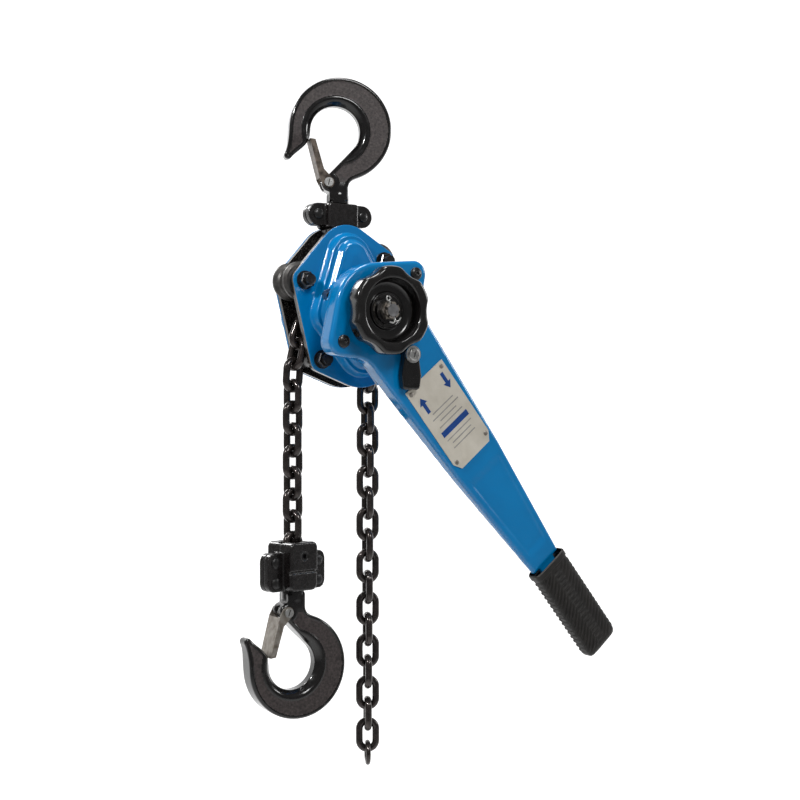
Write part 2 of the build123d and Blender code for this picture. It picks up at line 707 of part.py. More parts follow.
# ---------------------------------------------------------------- handwheel
with BuildPart() as handwheel:
    with BuildSketch(shaft_plane(-wheel_back_y)):
        Circle(wheel_r)
        with PolarLocations(wheel_r + 25, 6):
            Circle(28.5, mode=Mode.SUBTRACT)
    extrude(amount=wheel_face_y - wheel_back_y)
    fillet(handwheel.faces().filter_by(Axis.Y).edges(), 2.5)
    with BuildSketch(shaft_plane(-wheel_back_y - 4)):
        Circle(30)
        Circle(15, mode=Mode.SUBTRACT)
    extrude(amount=30, mode=Mode.SUBTRACT)
    ring(shaft_plane(-wheel_back_y - 6), 16, 0, 30, mode=Mode.SUBTRACT)
    ring(shaft_plane(-60), thread_r + 0.02, 0, 60, mode=Mode.SUBTRACT)
save(handwheel.part, "handwheel")
with BuildPart() as washer:
    ring(shaft_plane(-seat_y), 12, thread_r + 0.05, 1.5)
save(washer.part, "nut_washer")
with BuildPart() as castle_nut:
    with BuildSketch(shaft_plane(-seat_y - 1.5)):
        RegularPolygon(9.5, 6)
        Circle(thread_r + 0.02, mode=Mode.SUBTRACT)
    extrude(amount=5)
    ring(shaft_plane(-seat_y - 6.5), 7.8, thread_r + 0.02, 3.5)
    for slot in range(3):
        with BuildSketch(shaft_plane(-seat_y - 7)):
            Rectangle(2.6, 30, rotation=60 * slot + 20)
        extrude(amount=5, mode=Mode.SUBTRACT)
save(castle_nut.part, "castle_nut")
save(across_shaft(1.1), "split_pin")

# ---------------------------------------------------------------- yokes
ear_u, ear_r, ear_depth = 25.0, 11.0, 6.5
shank_r, head_r = 7.0, 9.8
sus_z = body_point(*suspension)[1]
block_x, block_z = load_end[-1]
block_pin_r = 4.0
block_pin_z = block_z - bend_r + wire / 2 + block_pin_r + 0.15


def turned_plane(x, z, turn, y=0.0, upward=1):
    """Upright plane through a swivel axis, turned about Z; local y runs up, or down when upward is -1."""
    across = Vector(cos(radians(turn)), sin(radians(turn)), 0)
    normal = Vector(sin(radians(turn)), -cos(radians(turn)), 0) * upward
    return Plane(origin=Vector(x, 0, z) - normal * (y * upward), x_dir=across, z_dir=normal)


def yoke_half(plane, sign, ears, bulge, depth):
    """Outer form of one half shell; the caller cuts its holes."""
    with BuildPart() as form:
        extrude(plane * ears, amount=(ear_depth - 0.05) * sign)
        extrude(plane * bulge, amount=(depth - 0.05) * sign)
        along = Axis((0, 0, 0), tuple(plane.z_dir))
        fillet(form.faces().sort_by(along)[-1 if sign > 0 else 0].edges(), 2.0)
    return form.part


with BuildSketch() as top_ears:
    with Locations((-ear_u, -107), (ear_u, -107)):
        Circle(ear_r)
    make_hull()
with BuildSketch() as top_bulge:
    with Locations((0, -108)):
        RectangleRounded(34, 24.4, 3)
    with Locations((0, (sus_z - 106) / 2)):
        Rectangle(25, -106 - sus_z)
    with Locations((0, sus_z)):
        Circle(12.5)
with BuildSketch() as bottom_ears:
    with Locations((0, -453)):
        RectangleRounded(2 * (ear_u + ear_r), 37, 8)
with BuildSketch() as bottom_bulge:
    with Locations((0, -448)):
        RectangleRounded(34, 47, 6)

top_depth, bottom_depth = 12.6, 18.0
top_rivets = [(-ear_u, -107), (ear_u, -107)]
bottom_rivets = [(u, z) for u in (-26.5, 26.5) for z in (-444, -463)]
top_cavity = [(shank_r + fit, -125, -90), (head_r + 0.25, -118.5, -103.5)]
bottom_cavity = [(shank_r + fit, -476, -455), (head_r + 0.8, -464.2, -454.2)]
yokes = [("top", 0.0, 0.0, top_ears, top_bulge, top_depth, top_rivets, top_cavity,
          [(0, sus_z, suspension_r + fit)]),
         ("bottom", block_x, load_twist, bottom_ears, bottom_bulge, bottom_depth, bottom_rivets, bottom_cavity,
          [(0, block_pin_z, block_pin_r + fit)])]
for name, x, turn, ears, bulge, depth, rivets, cavity, pins in yokes:
    for side, sign in (("front", 1), ("rear", -1)):
        plane = turned_plane(x, 0, turn, y=-0.05 * sign)
        with BuildPart() as half:
            add(yoke_half(plane, sign, ears.sketch, bulge.sketch, depth))
            for radius, low, high in cavity:
                with BuildSketch(Plane.XY.offset(low)):
                    with Locations((x, 0)):
                        Circle(radius)
                extrude(amount=high - low, mode=Mode.SUBTRACT)
            for u, z, radius in pins + [(u, z, 3.02) for u, z in rivets]:
                with BuildSketch(turned_plane(x, 0, turn, y=25)):
                    with Locations((u, z)):
                        Circle(radius)
                extrude(amount=50, mode=Mode.SUBTRACT)
            if name == "bottom":
                with BuildSketch(turned_plane(x, 0, turn, y=wire / 2 + 0.8)):
                    with Locations((0, -438)):
                        Rectangle(link_width + 4.4, 36)
                extrude(amount=wire + 1.6, mode=Mode.SUBTRACT)
                with BuildSketch(turned_plane(x, 0, turn, y=link_width / 2 + 0.9)):
                    with Locations((0, -424)):
                        Rectangle(16, 13)
                extrude(amount=link_width + 1.8, mode=Mode.SUBTRACT)
        save(half.part, f"{name}_yoke_{side}")
    with BuildPart() as rivet_group:
        for spot in rivets:
            ring(turned_plane(x, 0, turn, y=ear_depth), 3, 0, 2 * ear_depth, at=spot)
            ring(turned_plane(x, 0, turn, y=ear_depth + 2.5), 5.2, 0, 2.5, at=spot)
            ring(turned_plane(x, 0, turn, y=-ear_depth), 5.2, 0, 2.5, at=spot)
    save(rivet_group.part, f"{name}_yoke_rivets")

with BuildPart() as chain_pin:
    ring(turned_plane(block_x, 0, load_twist, y=bottom_depth - 0.5), block_pin_r, 0, 2 * bottom_depth - 1,
         at=(0, block_pin_z))
    with BuildSketch(turned_plane(block_x, 0, load_twist, y=-bottom_depth + 4)):
        with Locations((0, block_pin_z)):
            RegularPolygon(2.6, 6)
    extrude(amount=5, mode=Mode.SUBTRACT)
save(chain_pin.part, "chain_pin")

# ---------------------------------------------------------------- hooks
top_bowl_z = -hook_inner
bottom_bowl_z = -542.8
neck_end = 71.0
latch_gap = hook_t / 2 + 0.4
latch_sheet = 1.3


pin_at = (latch_pivot[0] - shank_u, latch_pivot[1])

# hook outline: bowl towards local +y, opening towards -x, shank along -y on x = 0
with BuildSketch() as hook_face:
    u, w = outer_centre[0] - shank_u, outer_centre[1]
    with BuildLine():
        left = (u - hook_outer * cos(radians(6)), w + hook_outer * sin(radians(6)))
        right = (u + hook_outer * cos(radians(70)), w - hook_outer * sin(radians(70)))
        outer = ThreePointArc(left, (u, w + hook_outer), right)
        neck = Spline(outer @ 1, (9.5, -56), tangents=(outer % 1, (0, -1)))
        Line(neck @ 1, (9.5, -neck_end + 2))
        Line((9.5, -neck_end + 2), (-9.5, -neck_end + 2))
        Line((-9.5, -neck_end + 2), (-9.5, pin_at[1] - 8.5))
        lug = ThreePointArc((-9.5, pin_at[1] - 8.5), (pin_at[0] - 6.5, pin_at[1] - 1), (-12.0, -44.8))
        bowl_right = (hook_inner * cos(radians(42)) - shank_u, -hook_inner * sin(radians(42)))
        Line(lug @ 1, bowl_right)
        bowl_middle = (hook_inner * cos(radians(69)) - shank_u, hook_inner * sin(radians(69)))
        bowl = ThreePointArc(bowl_right, bowl_middle, (-hook_inner - shank_u, 0))
        nose = Spline(bowl @ 1, (-46.5, -27), tangents=((0, -1), (-0.62, -0.78)))
        tip = ThreePointArc(nose @ 1, (-51.3, -28.2), (-53.2, -23.5))
        Spline(tip @ 1, left, tangents=((0.5, 0.87), outer % 0))
    make_face()

for name, x, z, turn, upward in (("top", 0, top_bowl_z, top_hook_turn, 1),
                                 ("bottom", block_x, bottom_bowl_z, bottom_hook_turn, -1)):
    face = turned_plane(x, z, turn, y=hook_t / 2, upward=upward)
    with BuildPart() as hook:
        extrude(face * hook_face.sketch, amount=hook_t * upward)
        flats = hook.faces().sort_by(Axis((0, 0, 0), tuple(face.z_dir)))
        rims = flats[0].edges() + flats[-1].edges()
        fillet(rims.filter_by(lambda edge: edge.length > 11), 3.0)
        for low, high, radius in ((neck_end - 26, neck_end - 8, 9.5), (neck_end - 9, neck_end, 11),
                                  (neck_end, neck_end + 17.5, shank_r), (neck_end + 8.3, neck_end + 17.5, head_r)):
            with BuildSketch(Plane.XY.offset(z - low * upward)):
                with Locations((x, 0)):
                    Circle(radius)
            extrude(amount=(low - high) * upward)
        ring(turned_plane(x, z, turn, y=4, upward=upward), 7.2, 0, 8 * upward, at=pin_at, mode=Mode.SUBTRACT)
        ring(turned_plane(x, z, turn, y=20, upward=upward), 2.5, 0, 40 * upward, at=pin_at, mode=Mode.SUBTRACT)
    save(hook.part, f"{name}_hook")

    pin_half = latch_gap + latch_sheet + 1.5
    with BuildPart() as latch_pin:
        ring(turned_plane(x, z, turn, y=pin_half, upward=upward), 2.48, 0, 2 * pin_half * upward, at=pin_at)
        for y in (pin_half + 1.5, -pin_half):
            ring(turned_plane(x, z, turn, y=y, upward=upward), 4.4, 0, 1.5 * upward, at=pin_at)
    save(latch_pin.part, f"{name}_latch_pin")

    web = [(-19.2, -47), (-28.9, -8.5)]
    with BuildPart() as latch:
        outer_width = 2 * (latch_gap + latch_sheet)
        with BuildSketch(turned_plane(x, z, turn, y=outer_width / 2, upward=upward)):
            with Locations(pin_at):
                Circle(5.6)
            with BuildLine():
                Polyline((pin_at[0] + 5, pin_at[1] + 3), (-15.0, -38), (-23.4, -9.2), web[1], web[0], (-15, -55),
                         close=True)
            make_face()
        extrude(amount=outer_width * upward)
        with BuildSketch(turned_plane(x, z, turn, y=latch_gap, upward=upward)):
            with BuildLine():
                Polyline((web[0][0] + 1.4, web[0][1] + 1), (web[1][0] + 1.35, web[1][1] - 2),
                         (web[1][0] + 12, web[1][1] + 20), (30, 0), (30, -80), (-23, -80), (-23, -48), close=True)
            make_face()
        extrude(amount=2 * latch_gap * upward, mode=Mode.SUBTRACT)
        ring(turned_plane(x, z, turn, y=20, upward=upward), 2.48 + fit, 0, 40 * upward, at=pin_at,
             mode=Mode.SUBTRACT)
    save(latch.part, f"{name}_latch")

    with BuildPart() as latch_spring:
        coil_plane = turned_plane(x, z, turn, y=-3.0 * upward, upward=upward)
        start = coil_plane.origin + coil_plane.x_dir * pin_at[0] + coil_plane.y_dir * pin_at[1]
        with BuildLine() as path:
            Helix(1.4, 5.6, 4.0, center=start, direction=coil_plane.z_dir * -1)
        with BuildSketch(Plane(origin=path.line @ 0, z_dir=path.line % 0)):
            Circle(0.55)
        sweep(is_frenet=True)
    save(latch_spring.part, f"{name}_latch_spring")
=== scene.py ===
"""A lever chain hoist hanging by its top hook, dressed for rendering.

Metres, in the CAD frame: +Z up, the drive shaft along Y, the hand wheel towards -Y.
"""

import json
from math import cos, pi, radians, sin, sqrt

import bpy
import numpy as np
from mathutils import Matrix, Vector, kdtree


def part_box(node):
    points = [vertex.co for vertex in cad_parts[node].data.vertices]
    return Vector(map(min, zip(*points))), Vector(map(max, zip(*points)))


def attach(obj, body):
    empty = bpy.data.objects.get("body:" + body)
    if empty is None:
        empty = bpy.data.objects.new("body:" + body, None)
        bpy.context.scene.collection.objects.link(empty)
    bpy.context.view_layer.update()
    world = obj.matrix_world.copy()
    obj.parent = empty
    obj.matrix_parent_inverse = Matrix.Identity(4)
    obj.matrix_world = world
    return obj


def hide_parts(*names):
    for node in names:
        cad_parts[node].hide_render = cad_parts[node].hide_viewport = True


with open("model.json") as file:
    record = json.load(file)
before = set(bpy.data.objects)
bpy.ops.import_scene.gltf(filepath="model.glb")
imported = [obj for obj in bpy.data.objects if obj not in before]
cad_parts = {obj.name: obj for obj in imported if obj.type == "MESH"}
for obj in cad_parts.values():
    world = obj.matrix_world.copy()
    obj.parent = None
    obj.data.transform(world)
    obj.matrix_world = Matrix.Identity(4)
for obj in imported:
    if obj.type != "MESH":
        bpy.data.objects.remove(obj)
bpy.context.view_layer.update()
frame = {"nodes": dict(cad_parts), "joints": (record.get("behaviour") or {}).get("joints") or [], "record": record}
nodes = frame["nodes"]
MM = 0.001

# ---------------------------------------------------------------- places taken from the frame
joint_at = {joint["name"]: Vector(joint["pos_m"]) for joint in frame["joints"]}
shaft = joint_at["drive_spin"]
on_axis = Vector((shaft.x, 0, shaft.z))
load_axis = next(Vector(joint["axis"]) for joint in frame["joints"] if joint["name"] == "hook_block_swing")
HOOK_TURN = {"top": radians(-22), "bottom": radians(-3)}
BODY_TILT = radians(14)
LEVER_TURN = radians(39)
body_x = Vector((cos(BODY_TILT), 0, sin(BODY_TILT)))
body_z = Vector((-sin(BODY_TILT), 0, cos(BODY_TILT)))
lever_u = Vector((sin(LEVER_TURN), 0, -cos(LEVER_TURN)))
lever_v = Vector((cos(LEVER_TURN), 0, sin(LEVER_TURN)))
away = Vector((0, -1, 0))


def on_lever(u, v, depth):
    """A place u along and v across the lever from the shaft, depth in front of the mid plane, in mm."""
    return on_axis + (lever_u * u + lever_v * v + away * depth) * MM


# ---------------------------------------------------------------- materials
CLOUD_LOW, CLOUD_HIGH = 0.3, 0.7     # the part of the noise's range that is spread from 0 to 1
EDGE_FROM, EDGE_FULL = 0.52, 0.60    # pointiness at which an edge starts to show, and shows fully
SPECK_SIZE, SPECK_LOW, SPECK_HIGH = 0.0015, 0.45, 0.62
COAT_ROUGHNESS = 0.06


class Nodes:
    """A material's node tree with short calls for what the materials here share."""

    def __init__(self, name):
        self.material = bpy.data.materials.new(name)
        self.material.use_nodes = True
        self.tree = self.material.node_tree
        self.shader = self.tree.nodes["Principled BSDF"]
        self.place = self.add("ShaderNodeTexCoord").outputs["Object"]

    def add(self, kind, **settings):
        node = self.tree.nodes.new(kind)
        for key, value in settings.items():
            if hasattr(node, key):
                setattr(node, key, value)
            else:
                node.inputs[key.replace("_", " ")].default_value = value
        return node

    def link(self, source, target):
        self.tree.links.new(source, target)

    def noise(self, size, detail=4.0, rough=0.55):
        """Noise whose blobs are about size metres across."""
        node = self.add("ShaderNodeTexNoise", Scale=1 / size, Detail=detail, Roughness=rough)
        self.link(self.place, node.inputs["Vector"])
        return node.outputs["Fac"]

    def spread(self, source, low, high, out_low, out_high):
        node = self.add("ShaderNodeMapRange")
        limits = (("From Min", low), ("From Max", high), ("To Min", out_low), ("To Max", out_high))
        for key, value in limits:
            node.inputs[key].default_value = value
        self.link(source, node.inputs["Value"])
        return node.outputs["Result"]

    def mix(self, factor, first, second):
        node = self.add("ShaderNodeMix", data_type="RGBA")
        for socket, value in ((node.inputs[0], factor), (node.inputs[6], first), (node.inputs[7], second)):
            if hasattr(value, "links"):
                self.link(value, socket)
            elif isinstance(value, tuple):
                socket.default_value = (*value, 1)
            else:
                socket.default_value = value
        return node.outputs[2]

    def times(self, first, second):
        node = self.add("ShaderNodeMath", operation="MULTIPLY")
        self.link(first, node.inputs[0])
        self.link(second, node.inputs[1])
        return node.outputs[0]

    def bump(self, height, strength, depth, below=None):
        node = self.add("ShaderNodeBump", Strength=strength, Distance=depth)
        self.link(height, node.inputs["Height"])
        if below:
            self.link(below, node.inputs["Normal"])
        return node.outputs["Normal"]

    def edges(self):
        """Raised edges, where paint wears and polish shows."""
        pointiness = self.add("ShaderNodeNewGeometry").outputs["Pointiness"]
        return self.spread(pointiness, EDGE_FROM, EDGE_FULL, 0, 1)


def surface(name, dark, light, rough, grain, metallic=0.0, coat=0.0, wear=None, cloud=0.02):
    """A finished surface: clouded colour, uneven roughness, grain of (size, strength, depth), worn edges."""
    made = Nodes(name)
    cloudy = made.spread(made.noise(cloud), CLOUD_LOW, CLOUD_HIGH, 0, 1)
    colour = made.mix(cloudy, dark, light)
    smear = made.noise(cloud / 3, detail=6)
    roughness = made.spread(smear, CLOUD_LOW, CLOUD_HIGH, *rough)
    if wear:
        worn_colour, amount = wear
        speck = made.spread(made.noise(SPECK_SIZE, detail=6), SPECK_LOW, SPECK_HIGH, 0, amount)
        colour = made.mix(made.times(made.edges(), speck), colour, worn_colour)
    made.link(colour, made.shader.inputs["Base Color"])
    made.link(roughness, made.shader.inputs["Roughness"])
    normal = None
    for size, strength, depth in grain:
        normal = made.bump(made.noise(size, detail=5), strength, depth, normal)
    made.link(normal, made.shader.inputs["Normal"])
    made.shader.inputs["Metallic"].default_value = metallic
    made.shader.inputs["Coat Weight"].default_value = coat
    made.shader.inputs["Coat Roughness"].default_value = COAT_ROUGHNESS
    return made.material


peel = [(0.0035, 0.10, 0.0002), (0.0006, 0.05, 0.00005)]
blue_paint = surface("blue_enamel", (0.000, 0.190, 0.480), (0.000, 0.220, 0.540), (0.12, 0.18), peel,
                     coat=0.4, wear=((0.10, 0.20, 0.32), 0.5), cloud=0.06)
black_paint = surface("black_enamel", (0.002, 0.002, 0.002), (0.007, 0.006, 0.006), (0.14, 0.28), peel,
                      coat=0.5, wear=((0.08, 0.075, 0.07), 0.5), cloud=0.03)
cast_black = surface("cast_black", (0.004, 0.003, 0.003), (0.011, 0.009, 0.009), (0.18, 0.36),
                     [(0.004, 0.25, 0.0004), (0.0009, 0.12, 0.0001)], coat=0.4,
                     wear=((0.09, 0.08, 0.075), 0.4), cloud=0.01)
forged = surface("forged_flat", (0.016, 0.012, 0.012), (0.070, 0.056, 0.054), (0.40, 0.60),
                 [(0.004, 0.5, 0.0005), (0.0012, 0.9, 0.0003)], wear=((0.14, 0.12, 0.11), 0.5), cloud=0.0022)
forged_edge = surface("forged_gloss", (0.002, 0.002, 0.002), (0.007, 0.006, 0.006), (0.10, 0.24),
                      [(0.006, 0.25, 0.0004), (0.0012, 0.25, 0.0001)], coat=0.5,
                      wear=((0.10, 0.09, 0.08), 0.4), cloud=0.01)
chain_black = surface("chain_black", (0.030, 0.024, 0.023), (0.075, 0.062, 0.058), (0.16, 0.30),
                      [(0.003, 0.15, 0.0002), (0.0006, 0.1, 0.00005)], metallic=0.75, coat=0.5, cloud=0.006)
zinc = surface("zinc_plate", (0.46, 0.46, 0.45), (0.66, 0.66, 0.65), (0.24, 0.44),
               [(0.002, 0.15, 0.0001), (0.0004, 0.2, 0.00004)], metallic=1.0, cloud=0.004)
dull_zinc = surface("dull_zinc", (0.22, 0.19, 0.16), (0.46, 0.43, 0.39), (0.34, 0.55),
                    [(0.003, 0.25, 0.0002), (0.0006, 0.3, 0.00006)], metallic=0.9, cloud=0.006)
aged_zinc = surface("aged_zinc", (0.05, 0.04, 0.033), (0.20, 0.165, 0.135), (0.34, 0.55),
                    [(0.003, 0.25, 0.0002), (0.0006, 0.3, 0.00006)], metallic=0.8, cloud=0.006)
machined = surface("machined_steel", (0.32, 0.32, 0.33), (0.48, 0.48, 0.49), (0.26, 0.42),
                   [(0.001, 0.15, 0.00005), (0.0003, 0.2, 0.00003)], metallic=1.0, cloud=0.01)
black_oxide = surface("black_oxide", (0.006, 0.006, 0.007), (0.020, 0.019, 0.019), (0.24, 0.42),
                      [(0.002, 0.12, 0.0001), (0.0005, 0.1, 0.00003)], metallic=0.4, coat=0.4, cloud=0.005)
bronze = surface("bronze", (0.42, 0.24, 0.08), (0.56, 0.34, 0.13), (0.28, 0.42),
                 [(0.001, 0.15, 0.00005), (0.0003, 0.15, 0.00003)], metallic=1.0, cloud=0.006)
lining = surface("brake_lining", (0.03, 0.022, 0.015), (0.07, 0.05, 0.035), (0.7, 0.9),
                 [(0.0015, 0.5, 0.0002), (0.0005, 0.5, 0.0001)], cloud=0.003)
rubber = surface("grip_rubber", (0.008, 0.007, 0.006), (0.017, 0.015, 0.013), (0.38, 0.58),
                 [(0.003, 0.2, 0.0001), (0.0005, 0.4, 0.00006)], wear=((0.06, 0.055, 0.05), 0.6), cloud=0.012)
roller_grey = surface("roller_grey", (0.060, 0.058, 0.055), (0.12, 0.115, 0.11), (0.3, 0.5),
                      [(0.002, 0.2, 0.0001), (0.0006, 0.2, 0.00005)], metallic=0.7, cloud=0.005)
label_face = surface("label_face", (0.56, 0.52, 0.44), (0.68, 0.64, 0.56), (0.30, 0.44),
                     [(0.006, 0.12, 0.0002), (0.0005, 0.08, 0.00003)], cloud=0.02)
label_ink = surface("label_ink", (0.004, 0.045, 0.22), (0.006, 0.065, 0.30), (0.3, 0.42),
                    [(0.002, 0.1, 0.0001), (0.0005, 0.1, 0.00003)], cloud=0.01)
label_grey = surface("label_grey", (0.26, 0.25, 0.24), (0.36, 0.35, 0.33), (0.32, 0.44),
                     [(0.002, 0.1, 0.0001), (0.0005, 0.1, 0.00003)], cloud=0.01)
# tan-grey painted highlight laid on the cut edge of the front cover's flange
painted_edge_highlight = surface("painted_edge_highlight", (0.20, 0.17, 0.14), (0.38, 0.34, 0.29), (0.35, 0.55),
                    [(0.002, 0.3, 0.0001), (0.0005, 0.3, 0.00005)], metallic=0.6, cloud=0.006)

by_slot = {
    "blue_paint": blue_paint,
    "black_paint": black_paint,
    "forged_black": forged,
    "black_chain": chain_black,
    "zinc_steel": zinc,
    "machined_steel": machined,
    "black_steel": black_oxide,
    "bronze_bush": bronze,
    "brake_lining": lining,
    "grip_rubber": rubber,
    "label_foil": label_face,
    "roller_grey": roller_grey,
}
slot_of = {part["node"]: part["material_slot"] for part in frame["record"]["subparts"]}
for node_name, node in nodes.items():
    node.data.materials.clear()
    node.data.materials.append(by_slot[slot_of[node_name]])
for node_name in ("bottom_latch", "castle_nut"):
    nodes[node_name].data.materials[0] = dull_zinc
nodes["top_latch"].data.materials[0] = aged_zinc
for node_name in ("nut_washer", "chain_pin"):
    nodes[node_name].data.materials[0] = black_oxide


# ---------------------------------------------------------------- helpers for meshes
def new_piece(name, vertices, faces, materials, body, replaces=(), face_materials=None):
    """A smooth-shaded mesh that rides on a body and hides the CAD parts it replaces."""
    mesh = bpy.data.meshes.new(name)
    mesh.from_pydata([tuple(v) for v in vertices], [], faces)
    mesh.polygons.foreach_set("use_smooth", [True] * len(mesh.polygons))
    for material in materials:
        mesh.materials.append(material)
    if face_materials is not None:
        mesh.polygons.foreach_set("material_index", face_materials)
    mesh.update()
    piece = bpy.data.objects.new(name, mesh)
    bpy.context.scene.collection.objects.link(piece)
    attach(piece, body)
    if replaces:
        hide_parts(*replaces)
    return piece


def flat_shaded(piece):
    piece.data.polygons.foreach_set("use_smooth", [False] * len(piece.data.polygons))


def grid_faces(rows, columns, wrap=False, first=0):
    """Quads of a grid of rows by columns; wrap joins the last column to the first."""
    faces = []
    for row in range(rows - 1):
        for column in range(columns if wrap else columns - 1):
            beside = (column + 1) % columns
            a, b = first + row * columns, first + (row + 1) * columns
            faces.append((a + column, a + beside, b + beside, b + column))
    return faces


def step(value, low, high):
    """Smooth step from 0 at low to 1 at high."""
    t = np.clip((value - low) / (high - low), 0, 1)
    return t * t * (3 - 2 * t)


def reach_of(lobes, directions):
    """Support distance, in each direction, of the hull of circles (x, z, radius)."""
    return np.max([directions @ np.array(lobe[:2]) + lobe[2] for lobe in lobes], axis=0)


turns = np.radians(np.arange(720) / 2)
compass = np.stack([np.cos(turns), np.sin(turns)], axis=1)


def depth_inside(points, lobes):
    """How far each point lies inside the hull of circles."""
    return (reach_of(lobes, compass) - points @ compass.T).min(axis=1)


# ---------------------------------------------------------------- front cover
BOLTS = [(-46, 43), (-46, -35), (46, 43), (46, -35)]
FLANGE_LOBES = [(6, 53, 33.5), (0, -31, 42)] + [(x, z, 12.5) for x, z in BOLTS]
DOME_LOBES = [(6, 53.5, 25), (-29, 5, 20), (28, 5, 19), (30, -24, 9.3), (0, -34, 29)]
FLANGE_BACK, FLANGE_FACE, NOSE_FACE = 17.0, 20.0, 46.0
NOSE_R, BOSS_R = 41.0, 16.0
BOLT_CLEAR = 12.0                    # flat left round each bolt
FIRST_RISE, SECOND_RISE, CROWN_RISE = 8.5, 7.5, 1.2
# where each rise begins and ends, in mm inside the dome's outline, and inside the nose's circle
FIRST_BAND, SECOND_BAND, CROWN_BAND, NOSE_BAND = (-0.5, 4.0), (6.5, 12.5), (12, 24), (-1.0, 8.0)
RIM_EDGE = 0.6                       # width of the rounded rim outside the pressed face


def cover_height(points):
    """Depth of the pressed cover in front of the mid plane, in mm."""
    inside = depth_inside(points, DOME_LOBES)
    for bolt in BOLTS:
        inside = np.minimum(inside, np.hypot(*(points - np.array(bolt)).T) - BOLT_CLEAR)
    shaft_distance = np.hypot(*points.T)
    second = step(inside, *SECOND_BAND)
    crown = CROWN_RISE * step(inside, *CROWN_BAND) - CROWN_RISE
    height = FLANGE_FACE + FIRST_RISE * step(inside, *FIRST_BAND) + SECOND_RISE * second + crown * second
    return height + (NOSE_FACE - height) * step(NOSE_R - shaft_distance, *NOSE_BAND)


def make_front_cover():
    """The pressed cover, from the boss's hole out to the flange and back under its brim."""
    rings, spokes = 150, 480
    grazing = 0.02                   # rays nearer than this to square with a side don't meet it
    angles = 2 * pi * np.arange(spokes) / spokes
    rays = np.stack([np.cos(angles), np.sin(angles)], axis=1)
    reach = reach_of(FLANGE_LOBES, compass)
    facing = rays @ compass.T
    edge = np.where(facing > grazing, reach / np.maximum(facing, grazing), np.inf).min(axis=1)
    vertices = []
    for share in np.linspace(0, 1, rings):
        radius = BOSS_R + (edge - RIM_EDGE - BOSS_R) * share
        points = rays * radius[:, None]
        heights = cover_height(points)
        vertices += [(x, z, y) for (x, z), y in zip(points, heights)]
    brim = [(0.15, FLANGE_FACE - 0.25), (0.0, FLANGE_FACE - 0.7), (0.0, FLANGE_BACK + 0.3),
            (0.3, FLANGE_BACK), (6.0, FLANGE_BACK)]
    for inset, y in brim:
        vertices += [(*(ray * (far - inset)), y) for ray, far in zip(rays, edge)]
    faces = grid_faces(rings + len(brim), spokes, wrap=True)
    # the faces of the flange's cut edge take the tan-grey painted edge highlight
    rim = [1 if index // spokes == rings + 1 else 0 for index in range(len(faces))]
    placed = [on_axis + (body_x * x + body_z * z + away * y) * MM for x, z, y in vertices]
    new_piece("front_cover_pressing", placed, faces, [blue_paint, painted_edge_highlight], "frame",
              ["front_cover"], rim)


make_front_cover()


# ---------------------------------------------------------------- hand wheel
WHEEL_R = 42.0
SCALLOPS, SCALLOP_AT, SCALLOP_R = 6, 67.0, 28.5
SCALLOP_SOFT = 1.2                   # softness of the corner between a scallop and the rim


def wheel_rim(angle):
    """Radius of the scalloped rim at an angle."""
    pitch = 2 * pi / SCALLOPS
    offset = (angle + pitch / 2) % pitch - pitch / 2
    beyond = SCALLOP_R ** 2 - (SCALLOP_AT * sin(offset)) ** 2
    if beyond <= 0:
        return WHEEL_R
    cut = SCALLOP_AT * cos(offset) - sqrt(beyond)
    return -SCALLOP_SOFT * np.log(np.exp(-cut / SCALLOP_SOFT) + np.exp(-WHEEL_R / SCALLOP_SOFT))


def make_hand_wheel():
    """The cast wheel: a scalloped rim round a cup with a raised ring in its floor."""
    spokes = 360
    # (share of the rim's scallop, radius, depth): up the back, round the rim, down into the cup
    profile = [
        (0, 13, 74), (0, 24, 74), (1, 38.5, 74), (1, 40.3, 74.5), (1, 41.5, 75.8), (1, 42, 77.6),
        (1, 42, 84), (1, 42, 88.5), (1, 41.6, 90.6), (1, 40.6, 92.1), (1, 39.2, 92.8), (1, 37.6, 93),
        (0.5, 34.0, 92.9), (0.1, 31.6, 92.6), (0, 30.6, 91.9), (0, 30.1, 90.6), (0, 29.8, 88),
        (0, 29.2, 83.0), (0, 28.0, 80.2), (0, 26.0, 78.6), (0, 23.5, 78.1), (0, 19.6, 78.0),
        (0, 18.5, 78.1), (0, 18.1, 78.5), (0, 18.0, 80.0), (0, 17.7, 80.6), (0, 17.1, 80.8),
        (0, 16.5, 80.6), (0, 16.3, 80.0), (0, 15.9, 79.6), (0, 12, 79.4), (0, 6.1, 79.4)]
    vertices = []
    for share, radius, depth in profile:
        for index in range(spokes):
            angle = 2 * pi * index / spokes
            at = radius + share * (wheel_rim(angle) - WHEEL_R)
            across, up = at * cos(angle) * MM, at * sin(angle) * MM
            vertices.append(Vector((shaft.x + across, -depth * MM, shaft.z + up)))
    faces = [face[::-1] for face in grid_faces(len(profile), spokes, wrap=True)]
    wheel = new_piece("hand_wheel_casting", vertices, faces, [black_paint], "drive",
                      ["handwheel"])
    smooth = wheel.modifiers.new("smooth", "SUBSURF")
    smooth.levels = smooth.render_levels = 1


make_hand_wheel()


# ---------------------------------------------------------------- grip
def span(node_name, direction, origin):
    """Lowest and highest place of a CAD node along a direction, in mm."""
    places = [(v.co - origin).dot(direction) / MM for v in nodes[node_name].data.vertices]
    return min(places), max(places)


CORNER_POWER = 2 / 5                 # below 1, a section squarer than an ellipse
RIB_ALONG, RIB_ACROSS, RIB_PITCH = 0.72, 0.69, 4.4
RIB_LIFT, RIB_BASE = 0.95, 0.35
END_LENGTH, END_INSET = 8.0, 4.2     # the rounding of the free end
COLLAR_STEP, MOUTH_INSET = 1.1, 1.2
COLLAR_END, RIBS_START, RIBS_END = (6.5, 7.5), (9, 11), (7, 10)
RIB_FLANK = (0.35, 0.75)


